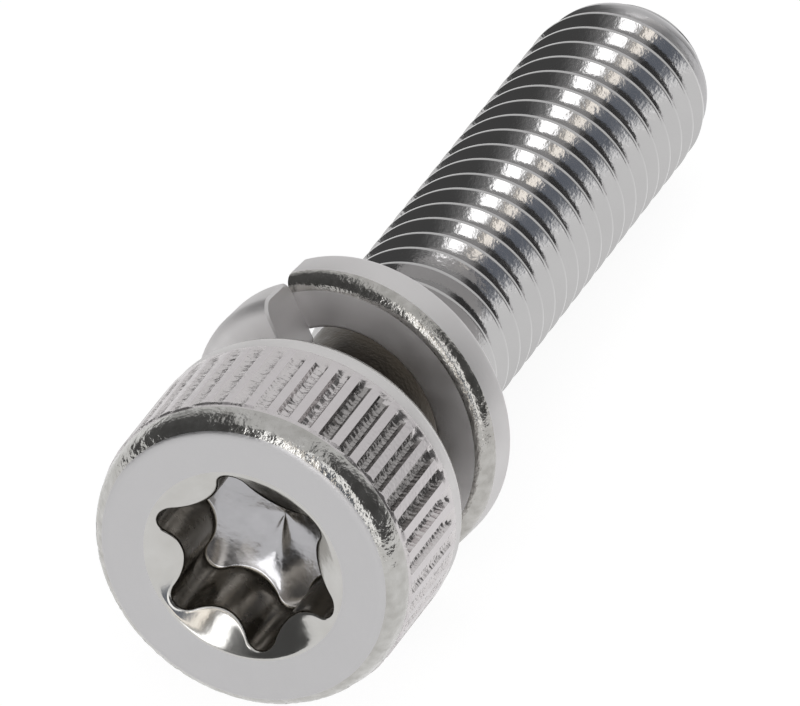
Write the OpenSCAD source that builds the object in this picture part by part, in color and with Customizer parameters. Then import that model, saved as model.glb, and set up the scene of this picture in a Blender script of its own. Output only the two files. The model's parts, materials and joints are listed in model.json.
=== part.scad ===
// Cap screw with a six-lobed socket, a knurled head and a loose split spring washer.
// Each piece is drawn along its own axis, from the head to the end, with the head's bearing face at zero.
// It is then laid on the ground plane as it comes to rest, on two ridges of the knurl and the end of the
// thread, with +X from the head to the end and +Z up. Lengths are in millimetres.

/* [Shank] */
// Outside diameter of the thread, nominal size 5
thread_d = 4.95; // [4.4:0.05:5.6]
// Distance from one turn of the thread to the next
thread_pitch = 0.8; // [0.5:0.05:1]
// Length of the shank, from the bearing face under the head to the end
shank_len = 22; // [16:0.5:40]
// Diameter of the plain neck between head and thread
neck_d = 4.4; // [3.6:0.05:4.6]
// Radius of the fillet where the neck meets the head
neck_fillet = 0.25; // [0.1:0.05:0.5]
// Length of the first bevel at the end, over the last turns of the thread
end_taper_len = 0.8; // [0.4:0.05:1.5]
// How far that bevel narrows the thread, on the radius
end_taper_drop = 0.18; // [0.05:0.01:0.4]
// Length of the steeper bevel at the very end
end_bevel_len = 0.58; // [0.2:0.02:1]
// Diameter of the flat end face
end_d = 3.9; // [3:0.1:4.2]

/* [Head] */
// Height of the head, from its face to the bearing face
head_h = 4.7; // [4.4:0.05:7]
// Diameter over the ridges of the knurl
knurl_d = 8.64; // [8:0.02:11]
// Number of ridges around the head
knurl_count = 44; // [30:1:60]
// Share of each ridge's spacing that is flat on top
knurl_flat = 0.28; // [0.1:0.01:0.5]
// Depth of the grooves between the ridges
knurl_depth = 0.2; // [0.08:0.01:0.3]
// How far the ridges stand proud of the smooth bands beside them
knurl_rise = 0.05; // [0.03:0.01:0.08]
// Width of the smooth band between the face and the knurl, rounded edge included
face_band = 0.83; // [0.6:0.01:1.2]
// Width of the smooth band between the knurl and the bearing face, bevel included
seat_band = 0.88; // [0.6:0.01:1.2]
// Radius of the rounded edge of the face
face_edge_r = 0.43; // [0.2:0.01:0.55]
// Diameter of the flat bearing face
seat_d = 7.9; // [7:0.05:8.3]
// Height of the bevel around the bearing face
seat_bevel = 0.45; // [0.2:0.05:0.55]

/* [Socket] */
// Diameter over the tips of the six lobes
lobe_d = 5.07; // [4.6:0.01:5.6]
// Diameter between the six ribs that stand in between the lobes
rib_d = 3.69; // [3.4:0.01:4]
// Radius of the round of each lobe
lobe_r = 0.42; // [0.35:0.01:0.5]
// Turn of the lobes about the screw's axis, from straight down
lobe_turn = 48; // [0:1:59]
// Diameter of the countersink at the face
countersink_d = 5.39; // [5.1:0.01:6]
// Angle of the countersink's cone
countersink_angle = 122; // [100:1:140]
// Depth of the socket at its lobes, below the face
socket_depth = 2.33; // [1.6:0.01:3]
// How much deeper the cone of its floor is at the axis
floor_dip = 0.5; // [0.1:0.05:1]

/* [Spring washer] */
// How much wider the washer's bore is than the thread
washer_play = 0.35; // [0.3:0.05:0.8]
// Width of the washer's section, across the ring
washer_w = 1.49; // [1:0.01:2]
// Thickness of the washer's section, along the axis
washer_t = 1.36; // [1:0.02:2]
// Space between the cut ends along the axis, where they are sprung past each other
washer_spring = 0.06; // [0.04:0.02:1]
// Size of the broken edges of its section
washer_edge = 0.2; // [0.05:0.01:0.4]
// How far the cut ends lie over each other, in degrees
washer_lap = 0.4; // [0.2:0.2:8]
// Turn of the cut about the screw's axis, from straight down
washer_cut_turn = 149; // [30:1:330]
// Space between the bearing face and the end of the washer that is nearer to it
washer_back = 1.27; // [0.6:0.01:3]
// Room between the other end and the thread
washer_front = 0.475; // [0.2:0.005:3]
// Angle that the loose washer is turned about the vertical
washer_yaw = 6; // [0:0.5:8]
// How far the loose washer lies to one side of the screw's axis
washer_side = -0.02; // [-0.1:0.01:0.1]
// Height of the washer above the ground
ground_gap = 0.03; // [0.02:0.01:0.1]

/* [Hidden] */
$fn = 96;
steel = [0.77, 0.77, 0.78];
spring_steel = [0.70, 0.70, 0.71];
// How far a cutting shape runs past what it cuts
overshoot = 1;
// How far the head's core lies inside the grooves of the knurl
core_margin = 0.25;

// Head
knurl_r = knurl_d / 2;
band_r = knurl_r - knurl_rise;
groove_r = knurl_r - knurl_depth;
core_r = groove_r - core_margin;
flat_r = band_r - face_edge_r;
ridge_step = 360 / knurl_count;
ridge_half = ridge_step * knurl_flat / 2;
knurl_len = head_h - face_band - seat_band;
knurl_z = -seat_band - knurl_len;

// Socket
lobe_step = 60;
lobe_ring_r = lobe_d / 2 - lobe_r;
rib_r = rib_d / 2;
// Radius of each rib, from the condition that it runs smoothly into the lobes on both sides
lobe_reach = lobe_ring_r * cos(lobe_step / 2);
rib_round_r = (pow(lobe_ring_r, 2) + pow(rib_r, 2) - 2 * rib_r * lobe_reach - pow(lobe_r, 2))
    / (2 * (lobe_r + lobe_reach - rib_r));
rib_ring_r = rib_r + rib_round_r;
// How far each rib cuts into the lobes beside it, so that their walls meet in an edge
rib_bite = 0.003;
countersink_depth = countersink_d / 2 / tan(countersink_angle / 2);

// Spring washer
washer_bore_r = thread_d / 2 + washer_play / 2;
washer_r = washer_bore_r + washer_w;
washer_rise = washer_t + washer_spring;
washer_h = washer_rise + washer_t;
washer_sweep = 360 + washer_lap;
washer_steps = 72;
washer_mid_z = washer_back + washer_h / 2;
// How far the turn about the vertical carries the cut ends along the screw
washer_reach = washer_r * abs(sin(washer_cut_turn)) * sin(washer_yaw);

// Shank
thread_r = thread_d / 2;
neck_r = neck_d / 2;
neck_len = washer_back + washer_h + washer_reach + washer_front;
run_in = thread_r - neck_r;
thread_z = neck_len + run_in;
thread_end_z = shank_len - end_taper_len - end_bevel_len;
// Metric thread: crests an eighth of the pitch wide, and flanks at 30 degrees to the radius
turn_depth = 0.6134 * thread_pitch;
turn_gap = 7 / 8 * thread_pitch;
root_w = turn_gap - 2 * turn_depth * tan(30);
turn_count = floor((thread_end_z - thread_z) / thread_pitch);

// Rest: the two lowest ridges and the end of the thread touch the ground
ridge_rest_r = knurl_r * cos(ridge_step / 2 - ridge_half);
rest_tilt = atan((ridge_rest_r - thread_r) / (thread_end_z + seat_band));
rest_z = ridge_rest_r * cos(rest_tilt) - seat_band * sin(rest_tilt);
rest_x = ((shank_len - head_h) * cos(rest_tilt)
    + (end_d / 2 - flat_r) * sin(rest_tilt)) / 2;

// Distance of the ground from the screw's axis at station z
function ground_r(z) = ridge_rest_r - (z + seat_band) * tan(rest_tilt);

// The washer rests on the ground, so it lies a little above the screw's axis
washer_low_z = washer_back + washer_rise * washer_cut_turn / 360 + washer_t;
washer_lift = max(0, washer_r - ground_r(washer_low_z) + ground_gap);

// A point at radius r and angle a about the axis
function polar(r, a) = [r * cos(a), r * sin(a)];

// Lays a piece drawn along its own axis on the ground
module at_rest() {
    translate([-rest_x, 0, rest_z])
        rotate([0, 90 + rest_tilt, 0])
            children();
}

// Half section of the groove between two turns of the thread, open to the outside
module turn_groove() {
    polygon([
        [thread_r - turn_depth, -root_w / 2],
        [thread_r, -turn_gap / 2],
        [thread_r + overshoot, -turn_gap / 2],
        [thread_r + overshoot, turn_gap / 2],
        [thread_r, turn_gap / 2],
        [thread_r - turn_depth, root_w / 2]
    ]);
}

// Half section of the screw without its knurl: radius across, axis up.
// The turns of the thread are rings here, without their rise: over its crests the shank is a round shaft.
module screw_section() {
    difference() {
        polygon([
            [0, -head_h],
            [flat_r, -head_h],
            [flat_r, face_edge_r - head_h],
            [band_r, face_edge_r - head_h],
            [band_r, knurl_z],
            [core_r, knurl_z],
            [core_r, -seat_band],
            [band_r, -seat_band],
            [band_r, -seat_bevel],
            [seat_d / 2, 0],
            [neck_r, 0],
            [neck_r, neck_len],
            [thread_r, thread_z],
            [thread_r, thread_end_z],
            [thread_r - end_taper_drop, thread_end_z + end_taper_len],
            [end_d / 2, shank_len],
            [0, shank_len]
        ]);
        for (i = [0 : turn_count])
            translate([0, thread_end_z + turn_gap / 2 - i * thread_pitch])
                turn_groove();
    }
    // Rounded edge of the face
    translate([flat_r, face_edge_r - head_h])
        circle(r = face_edge_r);
    // Fillet between neck and head
    difference() {
        translate([neck_r, 0])
            square(neck_fillet);
        translate([neck_r + neck_fillet, neck_fillet])
            circle(r = neck_fillet);
    }
}

// Ridged ring of the knurl: flat ridges with a straight-sided groove between each two
module knurl() {
    outline = [
        for (i = [0 : knurl_count - 1])
            let (a = (i + 0.5) * ridge_step)
                each [
                    polar(knurl_r, a - ridge_half),
                    polar(knurl_r, a + ridge_half),
                    polar(groove_r, a + ridge_step / 2)
                ]
    ];
    translate([0, 0, knurl_z])
        linear_extrude(knurl_len)
            polygon(outline);
}

// Outline of the six-lobed socket: each lobe runs smoothly into the rib beside it
module lobes() {
    turns = [for (i = [0 : 5]) lobe_turn + i * lobe_step];
    difference() {
        union() {
            polygon([
                for (a = turns)
                    each [
                        polar(lobe_ring_r, a),
                        polar(rib_ring_r, a + lobe_step / 2)
                    ]
            ]);
            for (a = turns)
                translate(polar(lobe_ring_r, a))
                    circle(r = lobe_r);
        }
        for (a = turns)
            translate(polar(rib_ring_r, a + lobe_step / 2))
                circle(r = rib_round_r + rib_bite);
    }
}

// Space of the socket: the lobes down to a conical floor, with a countersink at the face
module socket() {
    floor_slope = floor_dip / (lobe_d / 2);
    floor_z = socket_depth - head_h;
    outer_r = lobe_d / 2 + overshoot;
    intersection() {
        translate([0, 0, -head_h - overshoot])
            linear_extrude(socket_depth + floor_dip + 2 * overshoot)
                lobes();
        rotate_extrude()
            polygon([
                [0, -head_h - 2 * overshoot],
                [outer_r, -head_h - 2 * overshoot],
                [outer_r, floor_z - overshoot * floor_slope],
                [0, floor_z + floor_dip]
            ]);
    }
    translate([0, 0, -head_h])
        cylinder(h = countersink_depth, r1 = countersink_d / 2, r2 = 0);
}

module screw() {
    color(steel)
        at_rest()
            difference() {
                union() {
                    rotate_extrude()
                        screw_section();
                    knurl();
                }
                socket();
            }
}

// Left-hand coil of the washer's section, which has broken edges, with a cut end on both sides.
// The points of each section go round it from the inner edge of the lower face.
module washer_coil() {
    inner_flat = washer_bore_r + washer_edge;
    outer_flat = washer_r - washer_edge;
    section = [
        [inner_flat, 0],
        [outer_flat, 0],
        [washer_r, washer_edge],
        [washer_r, washer_t - washer_edge],
        [outer_flat, washer_t],
        [inner_flat, washer_t],
        [washer_bore_r, washer_t - washer_edge],
        [washer_bore_r, washer_edge]
    ];
    corners = len(section);
    points = [
        for (i = [0 : washer_steps], p = section)
            let (q = polar(p[0], washer_cut_turn - washer_sweep * i / washer_steps))
                [q[0], q[1], p[1] + washer_rise * i / washer_steps - washer_h / 2]
    ];
    sides = [
        for (i = [0 : washer_steps - 1], k = [0 : corners - 1])
            let (
                b = corners * i,
                c = b + corners,
                n = (k + 1) % corners
            )
                each [
                    [b + k, b + n, c + n],
                    [b + k, c + n, c + k]
                ]
    ];
    near_end = [for (k = [0 : corners - 1]) corners - 1 - k];
    far_end = [for (k = [0 : corners - 1]) corners * washer_steps + k];
    polyhedron(points, concat(sides, [near_end, far_end]));
}

module spring_washer() {
    color(spring_steel)
        at_rest()
            translate([-washer_lift, washer_side, washer_mid_z])
                rotate([washer_yaw, 0, 0])
                    washer_coil();
}

screw();
spring_washer();
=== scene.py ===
"""Looks of a stainless cap screw: knurled head, lobed socket, rolled thread and a loose split spring washer.

Sizes are in millimetres and are turned to metres where points are placed. Every point of the screw is
given by an angle about its axis, a radius and a station along it. The angle runs from straight down towards
+Y, and the station is zero at the head's bearing face and grows towards the end of the thread.
"""

import json
import math

import bmesh
import bpy
import numpy as np
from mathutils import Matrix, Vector


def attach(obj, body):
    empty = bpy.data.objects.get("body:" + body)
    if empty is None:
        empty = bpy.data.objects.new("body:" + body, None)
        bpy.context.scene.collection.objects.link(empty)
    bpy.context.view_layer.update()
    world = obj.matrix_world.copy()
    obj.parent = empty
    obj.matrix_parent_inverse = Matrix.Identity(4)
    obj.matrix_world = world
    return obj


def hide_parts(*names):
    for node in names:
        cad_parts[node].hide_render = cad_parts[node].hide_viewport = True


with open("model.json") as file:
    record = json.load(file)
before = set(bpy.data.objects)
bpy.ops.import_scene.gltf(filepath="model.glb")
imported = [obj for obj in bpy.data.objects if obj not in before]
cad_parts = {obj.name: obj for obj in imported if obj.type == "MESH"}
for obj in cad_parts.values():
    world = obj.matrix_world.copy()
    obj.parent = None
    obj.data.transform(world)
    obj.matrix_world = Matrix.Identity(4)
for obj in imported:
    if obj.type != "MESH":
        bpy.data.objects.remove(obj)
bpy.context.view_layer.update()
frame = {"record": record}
random = np.random.default_rng(5)

MM = 0.001
TAU = 2 * math.pi

# Points closer than this, in metres, become one, and edges sharper than this stay sharp
WELD = 2e-7
SHARP_EDGE = math.radians(40)

# Sizes of the head, from its face to the neck
HEAD_H = 4.7
BAND_R = 4.27
FACE_BAND = 0.72
FACE_EDGE_R = 0.43
FACE_EDGE_LEN = 0.66
FACE_EDGE_BULGE = 0.09
FACE_EDGE_DENT = 0.01
SEAT_BAND = 0.88
SEAT_R = 3.95
SEAT_BEVEL = 0.45
SEAT_BULGE = 0.06
SEAT_INSET = 0.02
SEAT_CORNER = 0.04
NECK_R = 2.2
NECK_FILLET = 0.25
FLAT_R = BAND_R - FACE_EDGE_R

# Direction in which the bevel behind the knurl bulges: outwards, and towards the thread
BULGE_OUT, BULGE_BACK = 0.8, 0.6

# Sizes of the knurl, and the gaps between its ends and the smooth bands
KNURL_R = 4.314
KNURL_DEPTH = 0.2
KNURL_COUNT = 44
KNURL_START = FACE_BAND - HEAD_H
KNURL_END = -SEAT_BAND
BAND_GAP_FRONT = 0.03
BAND_GAP_REAR = 0.04

# One step of the knurl, from the middle of a groove: places as shares of the step, how deep each is cut,
# and where the ridge is
STEP_SHARES = np.array([0, 0.2, 0.3, 0.5, 0.7, 0.8])
CUT_SHARES = [1, 0.8, 0, 0, 0, 0.8]
ON_RIDGE = [False, False, True, True, False, False]

# The side on which the wheel pressed hardest: cosines of the angle from it at which grooves begin to
# deepen and are deepest, their depth elsewhere as a share of the knurl's, and what is added there
DEEP_SIDE = math.radians(225)
DEEPER_FROM, DEEPEST_FROM = 0.6, 0.9
SHALLOW_CUT = 0.45
DEEP_EXTRA = 0.85

# Ragged ends: how far the grooves' ends vary, and the lengths over which grooves open and close and
# ridges rise and fall
FRONT_RAGGED, REAR_RAGGED = 0.14, 0.12
GROOVE_OPENS, GROOVE_CLOSES = 0.15, 0.55
RIDGE_LEADS, RIDGE_RISES, RIDGE_FALLS = 0.04, 0.03, 0.05

# A deep groove gets painted shade, a darker material, where it is at least this far open
DARK_FROM = 0.45

# Chatter marks across the grooves: spacing, height, how far they stand up on the whole, the second wave
# of their saw-tooth, the range of their strength, how far they lag at the sides and wander along the
# groove, in radians, and the length of a wander
CHATTER_STEP = 0.19
CHATTER_HEIGHT = 0.026
CHATTER_LEVEL = 1.3
CHATTER_SAW = 0.35
CHATTER_STRENGTH = (0.7, 1.0)
CHATTER_LAGS = [0, 1.6, 0, 0, 0, 1.6]
CHATTER_WANDER = 1.3
WANDER_LEN = 0.83

# Tears stand up by at most this, and by so much less in the deep grooves
TORN = 0.055
TORN_LESS = 0.049

# Sizes of the socket
LOBE_TIP_R = 2.535
LOBE_ROUND = 0.42
RIB_R = 1.845
LOBE_TURN = math.radians(48)
COUNTERSINK_R = 2.695
COUNTERSINK_HALF_ANGLE = math.radians(61)
SOCKET_DEPTH = 2.33
FLOOR_DIP = 0.5
FLOOR_FILLET = 0.1
FLOOR_RIPPLE = 0.003
FLOOR_CREASE = 0.09
CREASE_TURN = math.radians(8)
CREASE_HALF = math.radians(19)
LIP_ROUND = 0.1
RIM_ROUND = 0.05
RIM_DROP = 0.2 * RIM_ROUND

# Rows of the head's grid, and places along its lip and bearing face
FLOOR_ROWS, FILLET_ROWS, WALL_ROWS, CONE_ROWS = 14, 5, 9, 7
FACE_ROWS, EDGE_ROWS, KNURL_ROWS, BEVEL_ROWS, NECK_ROWS = 7, 11, 98, 7, 6
LIP_SHARES = (0.25, 0.5, 0.75)
SEAT_SHARES = (0.3, 0.6, 1)
OUTLINE_STEPS = 3600

# Sizes of the thread
PITCH = 0.8
CREST_FLAT = 0.1
ROOT_ROUND = 0.115
FLANK_ANGLE = math.radians(30)
NECK_LEN = 4.748
THREAD_FADE = 0.9
SHANK_LEN = 22.0
TAPER_LEN = 0.8
TAPER_DROP = 0.18
BEVEL_LEN = 0.58
END_R = 1.95
THREAD_TURN = 0.25

# Rows of the thread by their distance from the middle of a crest, close together at its edge and near
# the root, rings of the end as shares of its radius, and the strip behind the head where columns halve
CREST_OFFSETS = np.array([0, 0.042, 0.052, 0.064, 0.16, 0.23, 0.3, 0.335, 0.37])
END_SHARES = (1, 0.97, 0.6, 0.3, 0)
HALVING_LEN = 0.2

# Sizes of the spring washer, and how it lies
WASHER_BORE_R = 2.65
WASHER_R = 4.14
WASHER_T = 1.36
WASHER_RISE = 1.42
WASHER_ROUND = 0.25
WASHER_WORN = 0.4
WASHER_INNER_ROUND = 0.12
WASHER_SWEEP = math.radians(363)
WASHER_CUT = math.radians(150.3)
WASHER_YAW = math.radians(6)
WASHER_LIFT = 0.206
WASHER_SIDE = -0.02
WASHER_MID = 2.66

# How far the washer's inner side is tucked in at the near end, and over which share of the turn
WASHER_TUCK = 0.3
TUCK_TRAVEL = 0.2

# Wear of the washer's edge: dents as a share of the section, where along the turn the wear begins and is
# full, and the share of it from which the edge looks bright
WASHER_DENT = 0.012
WEAR_FROM, WEAR_FULL = 0.12, 0.3
WEAR_SHOWS = 0.3

# The washer's grid: points of a corner, steps along the turn, length of a cut end's bevel as a share of
# the turn, and the section's size in the three rows that close a cut end
CORNER_POINTS = 7
WASHER_STEPS = 180
END_STEP = 0.0025
END_SIZES = (0.0, 0.88, 0.92)

# The screw's own directions and the centre of its bearing face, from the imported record
mounts = {mount["name"]: mount for mount in frame["record"]["mounts"]}
AXIS = np.array(mounts["thread"]["axis"])
SIDE = np.array([0.0, 1.0, 0.0])
DOWN = np.cross(SIDE, AXIS)
SEAT = np.array(mounts["drive_socket"]["pos_m"]) + HEAD_H * MM * AXIS
THREAD_R = mounts["thread"]["dims"]["r_mm"]


def place(angle, radius, station):
    """Points in the shared frame, in metres, from angles, radii and stations that broadcast together."""
    angle, radius, station = np.broadcast_arrays(angle, radius, station)
    across = radius * np.cos(angle)
    aside = radius * np.sin(angle)
    return SEAT + MM * (across[..., None] * DOWN + aside[..., None] * SIDE + station[..., None] * AXIS)


def smooth(x, low, high):
    """Zero below low, one above high, and a cubic that is level at both ends in between."""
    t = np.clip((x - low) / (high - low), 0, 1)
    return t * t * (3 - 2 * t)


def waves(angle, lowest, highest, count):
    """Uneven closed wave round a ring, about 1 high: a sum of cosines of whole numbers of periods."""
    periods = random.integers(lowest, highest, count)
    phases = random.uniform(0, TAU, count)
    return np.cos(periods * np.asarray(angle)[..., None] + phases).sum(axis=-1) / math.sqrt(count)


def wrap_faces(rows, columns, rise=0):
    """Quads of a grid whose last column meets its first, rise rows further on, as round a thread."""
    row, column = np.meshgrid(np.arange(rows - 1), np.arange(columns), indexing="ij")
    following = (column + 1) % columns
    step = np.where(following == 0, rise, 0)
    a = row * columns + column
    b = (row + step) * columns + following
    quads = np.stack([a, b, b + columns, a + columns], axis=-1)
    return quads[row + step + 1 < rows]


def make_piece(name, grids, materials):
    """One closed mesh from its grids' points, faces and material numbers. Points that meet are joined."""
    points, faces, numbers = [], [], []
    first = 0
    for grid_points, grid_faces, grid_numbers in grids:
        flat = grid_points.reshape(-1, 3)
        points.append(flat)
        faces += (grid_faces + first).tolist()
        numbers.append(np.broadcast_to(grid_numbers, len(grid_faces)))
        first += len(flat)
    mesh = bpy.data.meshes.new(name)
    mesh.from_pydata(np.concatenate(points), [], faces)
    mesh.polygons.foreach_set("material_index", np.concatenate(numbers).astype(np.int32))
    shape = bmesh.new()
    shape.from_mesh(mesh)
    bmesh.ops.remove_doubles(shape, verts=shape.verts, dist=WELD)
    bmesh.ops.recalc_face_normals(shape, faces=shape.faces)
    shape.to_mesh(mesh)
    shape.free()
    for material in materials:
        mesh.materials.append(material)
    mesh.polygons.foreach_set("use_smooth", np.ones(len(mesh.polygons), bool))
    mesh.set_sharp_from_angle(angle=SHARP_EDGE)
    piece = bpy.data.objects.new(name, mesh)
    bpy.context.scene.collection.objects.link(piece)
    return piece


# Materials

# Most of a noise texture's values lie between these two
NOISE_LOW, NOISE_HIGH = 0.3, 0.7


def linear(code):
    """Linear colour from an sRGB hex code such as C8C6C2."""
    parts = np.array([int(code[i:i + 2], 16) for i in (0, 2, 4)]) / 255
    values = np.where(parts <= 0.04045, parts / 12.92, ((parts + 0.055) / 1.055) ** 2.4)
    return (*values.tolist(), 1.0)


def add(tree, kind, values=None, links=None, **settings):
    """A node of that kind in the tree, with its settings, its sockets' values and its incoming links."""
    node = tree.nodes.new(kind)
    for key, value in settings.items():
        setattr(node, key, value)
    for socket, value in (values or {}).items():
        node.inputs[socket].default_value = value
    for socket, source in (links or {}).items():
        tree.links.new(source, node.inputs[socket])
    return node


def grain(size_mm):
    """Scale of a pattern whose features are about that big."""
    return 1 / (size_mm * MM)


def steel(name, dark, light, rough, blotch_mm, grit_mm, grit_height_mm):
    """Bare steel: a metal of one hue that varies a little in colour and gloss over blotches, with grit.

    Real grit is a few hundredths of a millimetre wide, too fine to show, so it is drawn at 0.1 mm or more.
    """
    material = bpy.data.materials.new(name)
    material.use_nodes = True
    tree = material.node_tree
    shader = tree.nodes["Principled BSDF"]
    shader.inputs["Metallic"].default_value = 1.0
    spot = add(tree, "ShaderNodeTexCoord").outputs["Object"]
    blotch = add(tree, "ShaderNodeTexNoise", {"Scale": grain(blotch_mm), "Detail": 4.0}, {"Vector": spot})
    tint = add(tree, "ShaderNodeMix", {"A": linear(dark), "B": linear(light)}, data_type="RGBA")
    tree.links.new(blotch.outputs["Fac"], tint.inputs["Factor"])
    gloss = add(
        tree, "ShaderNodeMapRange",
        {"From Min": NOISE_LOW, "From Max": NOISE_HIGH, "To Min": rough[0], "To Max": rough[1]},
        {"Value": blotch.outputs["Fac"]},
    )
    grit = add(tree, "ShaderNodeTexNoise", {"Scale": grain(grit_mm), "Detail": 2.0}, {"Vector": spot})
    bump = add(
        tree, "ShaderNodeBump",
        {"Strength": 1.0, "Distance": grit_height_mm * MM},
        {"Height": grit.outputs["Fac"]},
    )
    tree.links.new(tint.outputs["Result"], shader.inputs["Base Color"])
    tree.links.new(gloss.outputs["Result"], shader.inputs["Roughness"])
    tree.links.new(bump.outputs["Normal"], shader.inputs["Normal"])
    return material


FACE, SOCKET, FLOOR, CONE, EDGE, KNURL, GROOVE, SEAT_SIDE, NECK, THREAD, DEEP, BEVEL = range(12)
screw_materials = [
    # Tumbled in a barrel of stones: an even, silky light grey
    steel("tumbled stainless face", "BBBABB", "C6C5C6", (0.3, 0.4), 0.9, 0.1, 0.004),
    # Sheared by the punch and out of the stones' reach; its dark olive is painted shade of the recess, with
    # soft streaks of light
    steel("punched stainless socket with painted shade", "7A756C", "9C978E", (0.2, 0.32), 0.9, 0.15, 0.004),
    # Pressed by the punch's tip: a slightly cloudy mirror
    steel("pressed stainless floor", "A0A0A2", "BAB9BC", (0.1, 0.2), 0.4, 0.2, 0.004),
    # Pressed smooth by the punch's shoulder: a mirror with clear edges between light and dark
    steel("pressed stainless countersink", "B4B2AE", "CBCAC8", (0.1, 0.16), 0.8, 0.3, 0.003),
    # Forged against the die and knocked about: bright, with highlights that break up over dents
    steel("forged stainless edge", "979590", "D2D1CF", (0.1, 0.2), 0.35, 0.14, 0.022),
    # Tops of the ridges, rubbed by the knurling wheel: pale satin, a little pitted
    steel("knurled stainless ridge", "C6C1C2", "DAD6D7", (0.26, 0.38), 0.4, 0.1, 0.012),
    # Torn up by the wheel: small facets that glitter light and dark
    steel("torn stainless groove", "C4C0C0", "DAD6D6", (0.16, 0.3), 0.3, 0.1, 0.014),
    # Turned and tumbled: pale and nearly matt
    steel("turned stainless seat", "DAD8D7", "E4E2E2", (0.44, 0.54), 0.8, 0.12, 0.005),
    # Painted shade under the washer, where the neck sits between head and washer: dark brown and dull
    steel("stainless neck with painted shade", "2A251F", "5C5449", (0.36, 0.5), 0.4, 0.1, 0.012),
    # Burnished by the rolling dies: each flank is a mirror that shows the windows as white blocks
    steel("rolled stainless thread", "B6B5B5", "C0BFBF", (0.09, 0.14), 1.2, 0.1, 0.003),
    # Painted shade in the deepest grooves, on the side the wheel pressed hardest: mid grey with dark, torn
    # facets
    steel("stainless groove with painted shade", "8A8786", "B6B3B2", (0.18, 0.32), 0.3, 0.1, 0.014),
    # Formed in the die: a satin gloss that shows the washer and the room blurred
    steel("formed stainless bevel", "C4C2C0", "D0CECC", (0.16, 0.24), 0.8, 0.12, 0.004),
]
FLAT, WORN = range(2)
washer_materials = [
    # Tumbled: pale and matt, and grey where it turns from the light
    steel("tumbled spring steel", "DAD8D8", "E6E4E4", (0.5, 0.6), 0.7, 0.12, 0.004),
    # Rubbed bare by other screws: bright, with highlights that break up over dents
    steel("worn spring steel edge", "8E8C87", "D0CECB", (0.1, 0.24), 0.3, 0.11, 0.018),
]


# The screw

HEAD_COLUMNS = len(STEP_SHARES) * KNURL_COUNT
SHANK_COLUMNS = HEAD_COLUMNS // 2
head_angles = np.arange(HEAD_COLUMNS) / HEAD_COLUMNS * TAU
shank_angles = np.arange(SHANK_COLUMNS) / SHANK_COLUMNS * TAU


def lobed_outline(columns):
    """Angles and radii of the socket's wall, evenly spaced along it.

    Seen from the axis, a lobe is the far side of a circle and a rib the near side of one, and they touch
    where the line between their centres crosses them.
    """
    ring = LOBE_TIP_R - LOBE_ROUND
    reach = ring * math.cos(TAU / 12)
    apart = ring ** 2 + RIB_R ** 2 - 2 * RIB_R * reach - LOBE_ROUND ** 2
    rib_round = apart / (2 * (LOBE_ROUND + reach - RIB_R))
    rib_ring = RIB_R + rib_round
    share = LOBE_ROUND / (LOBE_ROUND + rib_round)
    touch_x = ring + share * (rib_ring * math.cos(TAU / 12) - ring)
    touch_y = share * rib_ring * math.sin(TAU / 12)
    turn = np.linspace(0, TAU, OUTLINE_STEPS + 1)
    from_lobe = np.abs((turn - LOBE_TURN + TAU / 12) % (TAU / 6) - TAU / 12)
    from_rib = TAU / 12 - from_lobe
    lobe_inside = np.maximum(LOBE_ROUND ** 2 - (ring * np.sin(from_lobe)) ** 2, 0)
    rib_inside = np.maximum(rib_round ** 2 - (rib_ring * np.sin(from_rib)) ** 2, 0)
    lobe = ring * np.cos(from_lobe) + np.sqrt(lobe_inside)
    rib = rib_ring * np.cos(from_rib) - np.sqrt(rib_inside)
    radius = np.where(from_lobe < math.atan2(touch_y, touch_x), lobe, rib)
    steps = np.hypot(np.diff(radius), radius[:-1] * np.diff(turn))
    along = np.concatenate([[0], np.cumsum(steps)])
    angles = np.interp(np.arange(columns) / columns * along[-1], along, turn)
    return angles, np.interp(angles, turn, radius)


def floor_station(radius):
    """Station of the socket's floor before its crease: a shallow cone, deepest at the axis."""
    return SOCKET_DEPTH - HEAD_H + FLOOR_DIP * (1 - radius / LOBE_TIP_R)


def cone_station(radius):
    """Station of the countersink, a cone that meets the face at the countersink's radius."""
    return (COUNTERSINK_R - radius) / math.tan(COUNTERSINK_HALF_ANGLE) - HEAD_H


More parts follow.
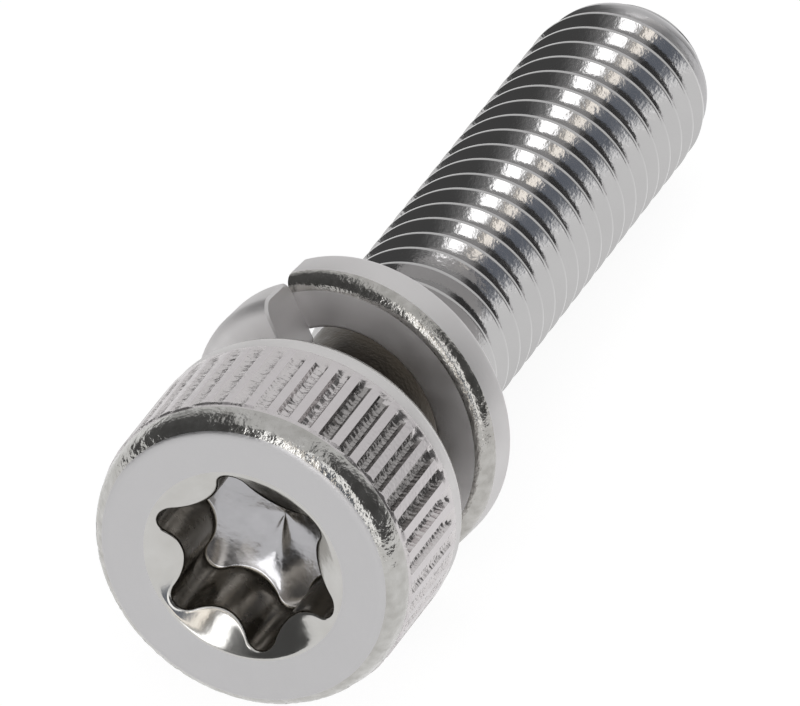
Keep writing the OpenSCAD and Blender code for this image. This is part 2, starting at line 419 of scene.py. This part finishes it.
def socket_rows(wall_angles, wall_r):
    """Rows of the socket, from the middle of its floor to the face.

    The floor's crease is a bell curve of the angle, and its ripple a sum of waves, both highest half way
    out. The fillet is a quarter circle. The lip is a quadratic curve from the wall to the cone, drawn
    towards their corner.
    """
    rows = []
    floor_r = wall_r - FLOOR_FILLET
    from_crease = (wall_angles - CREASE_TURN + TAU / 2) % TAU - TAU / 2
    crease = FLOOR_CREASE * np.exp(-(from_crease / CREASE_HALF) ** 2)
    ripple = crease + FLOOR_RIPPLE * waves(wall_angles, lowest=3, highest=9, count=5)
    for share in np.linspace(0, 1, FLOOR_ROWS):
        rippled = floor_station(share * floor_r) + ripple * 4 * share * (1 - share)
        rows.append((wall_angles, share * floor_r, rippled, FLOOR))
    # The fillet and the wall take the socket's material, whose dark colour is painted shade of the recess
    for turn in np.linspace(0, TAU / 4, FILLET_ROWS)[1:]:
        radius = floor_r + FLOOR_FILLET * math.sin(turn)
        station = floor_station(floor_r) - FLOOR_FILLET * (1 - math.cos(turn))
        rows.append((wall_angles, radius, station, SOCKET))
    wall_low = floor_station(floor_r) - FLOOR_FILLET
    wall_high = cone_station(wall_r) + LIP_ROUND
    for share in np.linspace(0, 1, WALL_ROWS)[1:]:
        rows.append((wall_angles, wall_r, wall_low + share * (wall_high - wall_low), SOCKET))
    lip_r = wall_r + LIP_ROUND
    corner, lip_end = cone_station(wall_r), cone_station(lip_r)
    for share in LIP_SHARES:
        station = (1 - share) ** 2 * wall_high + 2 * share * (1 - share) * corner + share ** 2 * lip_end
        rows.append((wall_angles, wall_r + share ** 2 * LIP_ROUND, station, CONE))
    cone_out = COUNTERSINK_R - RIM_ROUND
    for share in np.linspace(0, 1, CONE_ROWS):
        radius = lip_r + share * (cone_out - lip_r)
        rows.append((wall_angles, radius, cone_station(radius), CONE))
    rows.append((wall_angles, COUNTERSINK_R, RIM_DROP - HEAD_H, CONE))
    return rows


def face_rows(wall_angles, side_angles):
    """Rings of the flat face, on which the columns swing from the socket's spacing to the knurl's."""
    rows = []
    for share in np.linspace(0, 1, FACE_ROWS):
        radius = COUNTERSINK_R + RIM_ROUND + share * (FLAT_R - COUNTERSINK_R - RIM_ROUND)
        swing = smooth(share, 0, 1)
        rows.append(((1 - swing) * wall_angles + swing * side_angles, radius, -HEAD_H, FACE))
    return rows


def edge_rows(side_angles):
    """Rows of the edge round the face: a chamfer that bulges by half a sine wave, less its dents."""
    rows = []
    dents = waves(side_angles, lowest=5, highest=60, count=14)
    for share in np.linspace(0, 1, EDGE_ROWS)[1:]:
        dent = FACE_EDGE_DENT * (dents + waves(side_angles, lowest=20, highest=120, count=10)).clip(0)
        bulge = (FACE_EDGE_BULGE - dent) * math.sin(share * TAU / 2)
        radius = FLAT_R + FACE_EDGE_R * share + bulge
        rows.append((side_angles, radius, FACE_EDGE_LEN * share - bulge - HEAD_H, EDGE))
    rows.append((side_angles, BAND_R, KNURL_START - BAND_GAP_FRONT, KNURL))
    return rows


def knurl_rows(side_angles):
    """Rows of the knurl: flat ridges, and grooves whose depth is less by chatter marks and tears.

    Chatter is a saw-tooth along the groove, a sine less a smaller one of half its length, and its phase
    wanders as a cosine. Grooves open and close, and ridges rise and fall, by smooth steps.
    """
    groove = np.repeat(np.arange(KNURL_COUNT), len(STEP_SHARES))
    cut_share = np.tile(CUT_SHARES, KNURL_COUNT)
    ridges = np.tile(ON_RIDGE, KNURL_COUNT)
    lag = np.tile(CHATTER_LAGS, KNURL_COUNT)
    near_deep_side = np.cos(side_angles - DEEP_SIDE)
    deep_share = smooth(near_deep_side, DEEPER_FROM, DEEPEST_FROM)
    uneven = SHALLOW_CUT + DEEP_EXTRA * deep_share
    # Grooves nearest the side the wheel pressed hardest, which get painted shade
    deep = ~ridges & (near_deep_side > DEEPEST_FROM)
    strength = random.uniform(*CHATTER_STRENGTH, KNURL_COUNT)[groove]
    phase = random.uniform(0, TAU, KNURL_COUNT)[groove]
    drift = random.uniform(0, TAU, KNURL_COUNT)[groove]
    front = KNURL_START + random.uniform(0, FRONT_RAGGED, KNURL_COUNT)[groove]
    rear = KNURL_END - random.uniform(0, REAR_RAGGED, KNURL_COUNT)[groove]
    rows = []
    for station in np.linspace(KNURL_START, KNURL_END, KNURL_ROWS):
        open_share = smooth(station, front, front + GROOVE_OPENS)
        open_share = open_share * smooth(-station, -rear, GROOVE_CLOSES - rear)
        rise = smooth(station, front - RIDGE_LEADS, front + RIDGE_RISES)
        rise = rise * smooth(-station, -KNURL_END, -KNURL_END + RIDGE_FALLS)
        turn = TAU * station / CHATTER_STEP + phase + lag
        turn = turn + CHATTER_WANDER * np.cos(TAU * station / WANDER_LEN + drift)
        chatter = (np.sin(turn) - CHATTER_SAW * np.sin(2 * turn)) * strength
        torn = random.uniform(0, 1, HEAD_COLUMNS) * (TORN - TORN_LESS * deep_share)
        depth = KNURL_DEPTH - CHATTER_HEIGHT * (CHATTER_LEVEL + chatter) - torn
        radius = BAND_R + (KNURL_R - BAND_R) * rise - cut_share * open_share * uneven * depth
        # Open grooves on that side take the darker material, painted shade
        numbers = np.where(ridges, KNURL, np.where(deep & (open_share > DARK_FROM), DEEP, GROOVE))
        rows.append((side_angles, radius, station, numbers))
    return rows


def seat_rows(side_angles):
    """Rows behind the knurl: band, bevel bulging by half a sine wave, flat seat, quarter-round fillet."""
    rows = [(side_angles, BAND_R, KNURL_END + BAND_GAP_REAR, SEAT_SIDE)]
    for share in np.linspace(0, 1, BEVEL_ROWS):
        bulge = SEAT_BULGE * math.sin(share * TAU / 2)
        radius = BAND_R + (SEAT_R - BAND_R) * share + BULGE_OUT * bulge
        rows.append((side_angles, radius, BULGE_BACK * bulge - SEAT_BEVEL * (1 - share) - SEAT_INSET, BEVEL))
    seat_out = SEAT_R - SEAT_CORNER
    rows.append((side_angles, seat_out, 0, SEAT_SIDE))
    for share in SEAT_SHARES:
        radius = seat_out + share * (NECK_R + NECK_FILLET - seat_out)
        swing = smooth(share, 0, 1)
        rows.append(((1 - swing) * side_angles + swing * head_angles, radius, 0, SEAT_SIDE))
    # The fillet into the neck takes the neck's material, whose dark brown is painted shade
    for turn in np.linspace(0, TAU / 4, NECK_ROWS)[1:]:
        radius = NECK_R + NECK_FILLET * (1 - math.sin(turn))
        rows.append((head_angles, radius, NECK_FILLET * (1 - math.cos(turn)), NECK))
    return rows


def head_grid():
    """The head as one grid round the axis, from the socket's floor over the face and the side to the neck.

    Each row is (angles, radii, stations, material or materials of the faces up to the next row).
    """
    side_angles = ((np.arange(KNURL_COUNT)[:, None] + STEP_SHARES) / KNURL_COUNT * TAU).ravel()
    wall_angles, wall_r = lobed_outline(HEAD_COLUMNS)
    rows = [
        *socket_rows(wall_angles, wall_r),
        *face_rows(wall_angles, side_angles),
        *edge_rows(side_angles),
        *knurl_rows(side_angles),
        *seat_rows(side_angles),
    ]
    points = np.stack([place(angle, radius, station) for angle, radius, station, _ in rows])
    numbers = np.concatenate([np.broadcast_to(number, HEAD_COLUMNS) for _, _, _, number in rows[:-1]])
    return points, wrap_faces(len(rows), HEAD_COLUMNS), numbers


def neck_grids():
    """A strip of three triangles to two columns, which halves their number behind the head, and the neck."""
    strip_end = NECK_FILLET + HALVING_LEN
    number = np.arange(SHANK_COLUMNS)
    fine = 2 * number
    fine_next = (fine + 2) % HEAD_COLUMNS
    coarse = HEAD_COLUMNS + number
    coarse_next = HEAD_COLUMNS + (number + 1) % SHANK_COLUMNS
    halving = np.concatenate([
        np.stack([fine, fine + 1, coarse], axis=-1),
        np.stack([fine + 1, coarse_next, coarse], axis=-1),
        np.stack([fine + 1, fine_next, coarse_next], axis=-1),
    ])
    # The strip and the neck take the neck's material, whose dark brown is painted shade under the washer
    strip = np.concatenate([place(head_angles, NECK_R, NECK_FILLET), place(shank_angles, NECK_R, strip_end)])
    neck = np.stack([place(shank_angles, NECK_R, s) for s in np.linspace(strip_end, NECK_LEN, NECK_ROWS)])
    return [(strip, halving, NECK), (neck, wrap_faces(len(neck), SHANK_COLUMNS), NECK)]


def thread_profile(offset):
    """Radius of the thread at a distance along the axis from the middle of a crest.

    A flat crest, straight flanks of 30 degrees and a round root that touches both flanks.
    """
    from_crest = np.abs((offset + PITCH / 2) % PITCH - PITCH / 2)
    slope = 1 / math.tan(FLANK_ANGLE)
    flank = THREAD_R - np.maximum(from_crest - CREST_FLAT / 2, 0) * slope
    apex = THREAD_R - (PITCH - CREST_FLAT) / 2 * slope
    from_root = PITCH / 2 - from_crest
    middle = apex + ROOT_ROUND / math.sin(FLANK_ANGLE)
    root = middle - np.sqrt(np.maximum(ROOT_ROUND ** 2 - from_root ** 2, 0))
    return np.where(from_root < ROOT_ROUND * math.cos(FLANK_ANGLE), root, flank)


def shank_radius(station, offset):
    """Radius of the shank: the neck, the thread that deepens out of it, and the bevels at the end."""
    deep = smooth(station, NECK_LEN, NECK_LEN + THREAD_FADE)
    taper_start = SHANK_LEN - TAPER_LEN - BEVEL_LEN
    bevel_start = SHANK_LEN - BEVEL_LEN
    limit = np.interp(station, [NECK_LEN, taper_start, bevel_start, SHANK_LEN],
                      [THREAD_R, THREAD_R, THREAD_R - TAPER_DROP, END_R])
    return np.minimum(NECK_R + (thread_profile(offset) - NECK_R) * deep, limit)


def thread_grid():
    """The thread: the same rows in each turn, which climb with the helix and stop level at both ends."""
    offsets = np.concatenate([CREST_OFFSETS, [PITCH / 2], PITCH - CREST_OFFSETS[:0:-1]])
    turns = math.ceil((SHANK_LEN - NECK_LEN) / PITCH) + 2
    first = NECK_LEN - 2 * PITCH + THREAD_TURN * PITCH
    along = (np.arange(turns + 1)[:, None] * PITCH + offsets).reshape(-1, 1)
    station = first + along + PITCH * shank_angles / TAU
    kept = np.clip(station, NECK_LEN, SHANK_LEN)
    points = place(shank_angles, shank_radius(kept, along + kept - station), kept)
    faces = wrap_faces(len(points), SHANK_COLUMNS, rise=len(offsets))
    rolled = kept.ravel()[faces[:, 0]] < SHANK_LEN - BEVEL_LEN - TAPER_LEN / 2
    return points, faces, np.where(rolled, THREAD, FACE)


def end_grid():
    """The flat end, as rings from its edge to its middle."""
    points = np.stack([place(shank_angles, END_R * share, SHANK_LEN) for share in END_SHARES])
    return points, wrap_faces(len(points), SHANK_COLUMNS), FACE


screw = make_piece("cap_screw", [head_grid(), *neck_grids(), thread_grid(), end_grid()], screw_materials)
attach(screw, "screw")
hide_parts("screw")


# The spring washer

def washer_section():
    """Radii and heights round the washer's section, a rectangle with round corners, the last one worn."""
    corners = [
        (WASHER_R, WASHER_T, WASHER_ROUND),
        (WASHER_BORE_R, WASHER_T, WASHER_INNER_ROUND),
        (WASHER_BORE_R, 0, WASHER_INNER_ROUND),
        (WASHER_R, 0, WASHER_WORN),
    ]
    outline = []
    for quarter, (radius, height, rounding) in enumerate(corners):
        centre_r = radius - math.copysign(rounding, radius - (WASHER_R + WASHER_BORE_R) / 2)
        centre_h = height - math.copysign(rounding, height - WASHER_T / 2)
        turn = (quarter + np.linspace(0, 1, CORNER_POINTS)) * TAU / 4
        corner_r = centre_r + rounding * np.cos(turn)
        corner_h = centre_h + rounding * np.sin(turn)
        outline.append(np.stack([corner_r, corner_h], axis=-1))
    return np.concatenate(outline)


def washer_grid():
    """The section carried once round a left-hand helix, with its two cut ends bevelled and closed.

    The worn corner is dented and bright, but for the near end, where it is as matt as the rest. The coil
    is then swung sideways by its yaw and lifted, as it lies round the neck.
    """
    section = washer_section()
    column = np.arange(len(section))
    worn = column >= 3 * CORNER_POINTS
    middle = np.array([(WASHER_R + WASHER_BORE_R) / 2, WASHER_T / 2])
    steps = np.linspace(2 * END_STEP, 1 - 2 * END_STEP, WASHER_STEPS)
    travel = np.concatenate([[0, 0, 0, END_STEP], steps, [1 - END_STEP, 1, 1, 1]])[:, None]
    size = np.ones(travel.shape)
    for row, end_size in enumerate(END_SIZES):
        size[[row, -1 - row]] = end_size
    angle = WASHER_CUT - WASHER_SWEEP * travel
    bell = np.where(worn, np.sin(column % CORNER_POINTS * TAU / 2 / (CORNER_POINTS - 1)), 0)
    uneven = waves(angle, lowest=20, highest=90, count=12) + waves(angle, lowest=60, highest=170, count=12)
    wear = smooth(travel, WEAR_FROM, WEAR_FULL)
    dents = WASHER_DENT * bell * uneven.clip(0) * wear
    outline = middle + (size * (1 - dents))[..., None] * (section - middle)
    inward = (WASHER_R - outline[..., 0]) / (WASHER_R - WASHER_BORE_R)
    radius = outline[..., 0] - WASHER_TUCK * inward * (1 - smooth(travel, 0, TUCK_TRAVEL))
    height = outline[..., 1] + WASHER_RISE * travel - (WASHER_RISE + WASHER_T) / 2
    x = radius * np.cos(angle) - WASHER_LIFT
    y = radius * np.sin(angle)
    aside = y * math.cos(WASHER_YAW) - height * math.sin(WASHER_YAW) + WASHER_SIDE
    station = y * math.sin(WASHER_YAW) + height * math.cos(WASHER_YAW) + WASHER_MID
    points = place(np.arctan2(aside, x), np.hypot(x, aside), station)
    numbers = np.where(worn & (column < len(column) - 1) & (wear[:-1] > WEAR_SHOWS), WORN, FLAT)
    numbers[[0, 1, -2, -1]] = FLAT
    return points, wrap_faces(len(travel), len(column)), numbers.ravel()


washer = make_piece("split_washer", [washer_grid()], washer_materials)
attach(washer, "spring_washer")
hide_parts("spring_washer")


# Studio: a white floor inside a ring of windows, dark gaps and a pale backdrop

# Azimuths in degrees, from behind the screw (+X) towards +Y, with the ring's brightness and tint there
COOL, PLAIN, WARM = "E2ECFF", "FFFFFF", "FFF8EE"
RING = [
    (-180, 2.9, PLAIN),
    (-178.7, 2.9, PLAIN),
    (-176.2, 0.45, PLAIN),
    (-172, 0.3, WARM),
    (-170, 1.9, WARM),
    (-166.5, 1.9, WARM),
    (-164.5, 0.25, COOL),
    (-152, 0.22, COOL),
    (-147, 1.3, PLAIN),
    (-143, 1.7, PLAIN),
    (-132, 1.7, PLAIN),
    (-126, 0.3, PLAIN),
    (-120, 0.1, PLAIN),
    (-58, 0.1, PLAIN),
    (-46, 0.4, PLAIN),
    (-38, 0.8, PLAIN),
    (38, 0.8, PLAIN),
    (52, 0.45, PLAIN),
    (62, 0.12, PLAIN),
    (150, 0.09, PLAIN),
    (166, 0.25, PLAIN),
    (169.5, 0.5, PLAIN),
    (172, 2.9, PLAIN),
    (180, 2.9, PLAIN),
]

# Brightness of the ceiling, and the heights at which the ring begins to give way to it and has done so
CEILING = 0.8
CEILING_FROM = math.sin(math.radians(52))
CEILING_FULL = math.sin(math.radians(70))

# Half width of the floor in metres, its glow where it is seen, and the glow's share there
FLOOR_REACH = 3.0
FLOOR_GLOW = 1.2
FLOOR_GLOW_SHARE = 0.75


def seen_directly(tree):
    """One where the camera looks, also by way of metal or glass, and zero for light that is scattered."""
    path = add(tree, "ShaderNodeLightPath").outputs
    seen = add(tree, "ShaderNodeMath", None, {0: path["Is Camera Ray"], 1: path["Is Glossy Ray"]},
               operation="MAXIMUM")
    return add(tree, "ShaderNodeMath", None, {0: seen.outputs[0], 1: path["Is Transmission Ray"]},
               operation="MAXIMUM").outputs[0]


def white_floor():
    """Floor of white paper that keeps the screw's shadow."""
    mesh = bpy.data.meshes.new("floor")
    corners = [(x * FLOOR_REACH, y * FLOOR_REACH, 0) for x, y in ((-1, -1), (1, -1), (1, 1), (-1, 1))]
    mesh.from_pydata(corners, [], [(0, 1, 2, 3)])
    floor = bpy.data.objects.new("floor", mesh)
    bpy.context.scene.collection.objects.link(floor)
    # Uncoated paper: white and dead matt, with soft shadows
    material = bpy.data.materials.new("white paper")
    material.use_nodes = True
    tree = material.node_tree
    tree.nodes.remove(tree.nodes["Principled BSDF"])
    paper = add(tree, "ShaderNodeBsdfDiffuse", {"Color": linear("EDEDED")})
    glow = add(tree, "ShaderNodeEmission", {"Strength": FLOOR_GLOW})
    share = add(tree, "ShaderNodeMath", {1: FLOOR_GLOW_SHARE}, {0: seen_directly(tree)},
                operation="MULTIPLY")
    shaders = {0: share.outputs[0], 1: paper.outputs[0], 2: glow.outputs[0]}
    both = add(tree, "ShaderNodeMixShader", None, shaders)
    tree.links.new(both.outputs[0], tree.nodes["Material Output"].inputs["Surface"])
    mesh.materials.append(material)


def studio_world():
    """The ring of windows round the screw, which gives way upwards to an even ceiling."""
    world = bpy.data.worlds.new("studio")
    bpy.context.scene.world = world
    world.use_nodes = True
    tree = world.node_tree
    direction = add(tree, "ShaderNodeTexCoord").outputs["Generated"]
    parts = add(tree, "ShaderNodeSeparateXYZ", None, {0: direction}).outputs
    azimuth = add(tree, "ShaderNodeMath", None, {0: parts["Y"], 1: parts["X"]}, operation="ARCTAN2")
    turn = add(tree, "ShaderNodeMapRange", {"From Min": -math.pi, "From Max": math.pi},
               {"Value": azimuth.outputs[0]})
    ring = add(tree, "ShaderNodeValToRGB", None, {"Fac": turn.outputs["Result"]})
    ring.color_ramp.interpolation = "EASE"
    stops = ring.color_ramp.elements
    for degrees, _, _ in RING[1:-1]:
        stops.new(degrees / 360 + 0.5)
    for stop, (_, brightness, tint) in zip(stops, RING):
        stop.color = [brightness * part for part in linear(tint)]
    height = add(tree, "ShaderNodeMapRange", {"From Min": CEILING_FROM, "From Max": CEILING_FULL},
                 {"Value": parts["Z"]}, interpolation_type="SMOOTHSTEP")
    dome = add(tree, "ShaderNodeMix", {"B": (CEILING, CEILING, CEILING, 1)},
               {"Factor": height.outputs["Result"]}, data_type="RGBA")
    tree.links.new(ring.outputs["Color"], dome.inputs["A"])
    room = add(tree, "ShaderNodeBackground", None, {"Color": dome.outputs["Result"]})
    tree.links.new(room.outputs[0], tree.nodes["World Output"].inputs["Surface"])


white_floor()
studio_world()

# Camera of the photograph: its scale, the side from which it looks, and the point in millimetres it looks at
IMAGE_WIDTH = 800
PIXELS_PER_MM = 39.2
FOCAL_PIXELS = 30000
SENSOR_WIDTH = 36
AZIMUTH = math.radians(292.32)
ELEVATION = math.radians(36.55)
TARGET = (-6.379, -1.505, 7.111)
CLIP_START, CLIP_END = 0.01, 10

camera_data = bpy.data.cameras.new("photo camera")
camera_data.sensor_width = SENSOR_WIDTH
camera_data.lens = FOCAL_PIXELS / IMAGE_WIDTH * SENSOR_WIDTH
camera_data.clip_start, camera_data.clip_end = CLIP_START, CLIP_END
camera = bpy.data.objects.new("photo camera", camera_data)
bpy.context.scene.collection.objects.link(camera)
back = Vector((
    math.sin(AZIMUTH) * math.cos(ELEVATION),
    -math.cos(AZIMUTH) * math.cos(ELEVATION),
    math.sin(ELEVATION),
))
camera.location = Vector(TARGET) * MM + back * (FOCAL_PIXELS / PIXELS_PER_MM * MM)
camera.rotation_mode = "QUATERNION"
camera.rotation_quaternion = (-back).to_track_quat("-Z", "Y")
bpy.context.scene.camera = camera

bpy.context.scene.view_settings.view_transform = "Standard"
